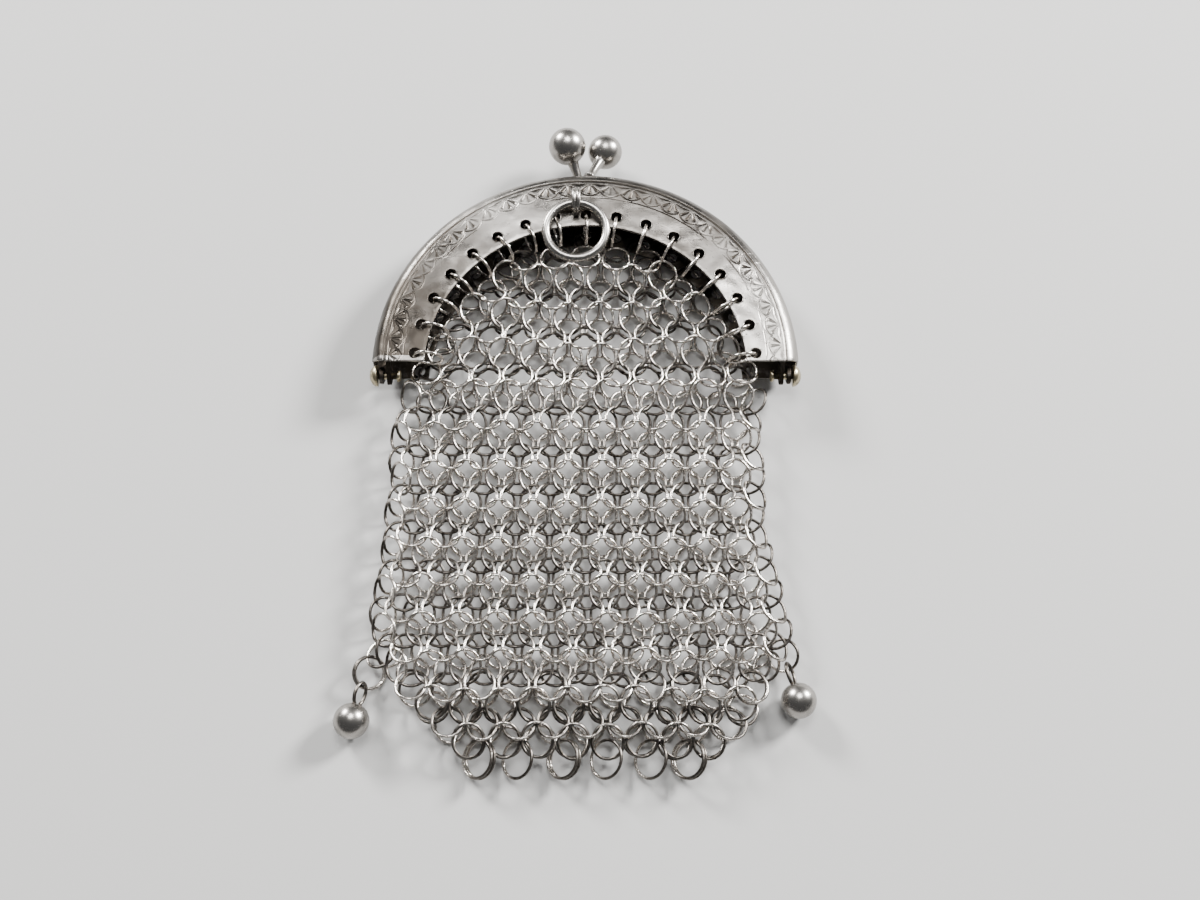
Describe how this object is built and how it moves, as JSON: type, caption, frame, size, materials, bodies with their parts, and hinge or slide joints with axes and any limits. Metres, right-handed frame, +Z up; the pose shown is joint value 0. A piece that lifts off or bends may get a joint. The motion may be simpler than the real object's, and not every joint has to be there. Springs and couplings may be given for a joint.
{
  "type": "mesh coin purse",
  "caption": "Flat metal mesh coin purse: two hinged arch plates with a ball snap clasp, a bag of linked rings hooked to them, a carrying ring and small ball drops.",
  "frame": {"origin": "on the surface under the bag, on the purse's middle line, at the arch plates' lower ends", "axes": "+X along the hinge line to the right, +Y from the hinge to the clasp balls, +Z up out of the front plate"},
  "size_m": [0.0628, 0.0952, 0.0106],
  "materials": {
    "plate_silver": "worn silver sheet, bright on the rims and grey in the hollows",
    "ball_silver": "polished silver",
    "wire_silver": "bright drawn silver wire with grey tarnish between the rings",
    "rivet_silver": "slightly yellowed silver"
  },
  "bodies": {
    "back": {"back_frame": "plate_silver", "rivet_left": "rivet_silver", "rivet_right": "rivet_silver", "mail_bag": "wire_silver", "back_hook_01": "wire_silver", "back_hook_02": "wire_silver", "back_hook_03": "wire_silver", "back_hook_04": "wire_silver", "back_hook_05": "wire_silver", "back_hook_06": "wire_silver", "back_hook_07": "wire_silver", "back_hook_08": "wire_silver", "back_hook_09": "wire_silver", "back_hook_10": "wire_silver", "back_hook_11": "wire_silver", "back_hook_12": "wire_silver", "back_hook_13": "wire_silver", "back_hook_14": "wire_silver", "back_hook_15": "wire_silver", "back_hook_16": "wire_silver", "back_hook_17": "wire_silver", "bottom_ring_1": "wire_silver", "bottom_ring_1_twin": "wire_silver", "bottom_ring_2": "wire_silver", "bottom_ring_3": "wire_silver", "bottom_ring_3_twin": "wire_silver", "bottom_ring_4": "wire_silver", "bottom_ring_5": "wire_silver", "bottom_ring_6": "wire_silver", "bottom_ring_6_twin": "wire_silver", "left_link_1": "wire_silver", "left_link_2": "wire_silver", "right_link_1": "wire_silver", "left_drop": "ball_silver", "right_drop": "ball_silver"},
    "front": {"front_frame": "plate_silver", "front_hook_01": "wire_silver", "front_hook_02": "wire_silver", "front_hook_03": "wire_silver", "front_hook_04": "wire_silver", "front_hook_05": "wire_silver", "front_hook_06": "wire_silver", "front_hook_07": "wire_silver", "front_hook_08": "wire_silver", "front_hook_09": "wire_silver", "front_hook_10": "wire_silver", "front_hook_11": "wire_silver", "front_hook_12": "wire_silver", "front_hook_13": "wire_silver", "front_hook_14": "wire_silver", "front_hook_15": "wire_silver", "front_hook_16": "wire_silver", "front_hook_17": "wire_silver"},
    "ring": {"carrying_ring": "ball_silver"}
  },
  "joints": [
    {"name": "frame_hinge", "type": "hinge", "parent": "back", "child": "front", "pos_m": [0, -0.0009, 0.00425], "axis": [1, 0, 0], "range_deg": [0, 80], "deforming": ["mail_bag"]},
    {"name": "ring_swing", "type": "hinge", "parent": "front", "child": "ring", "pos_m": [-0.00132, 0.02429, 0.00892], "axis": [-1, 0, 0], "range_deg": [0, 150]}
  ]
}
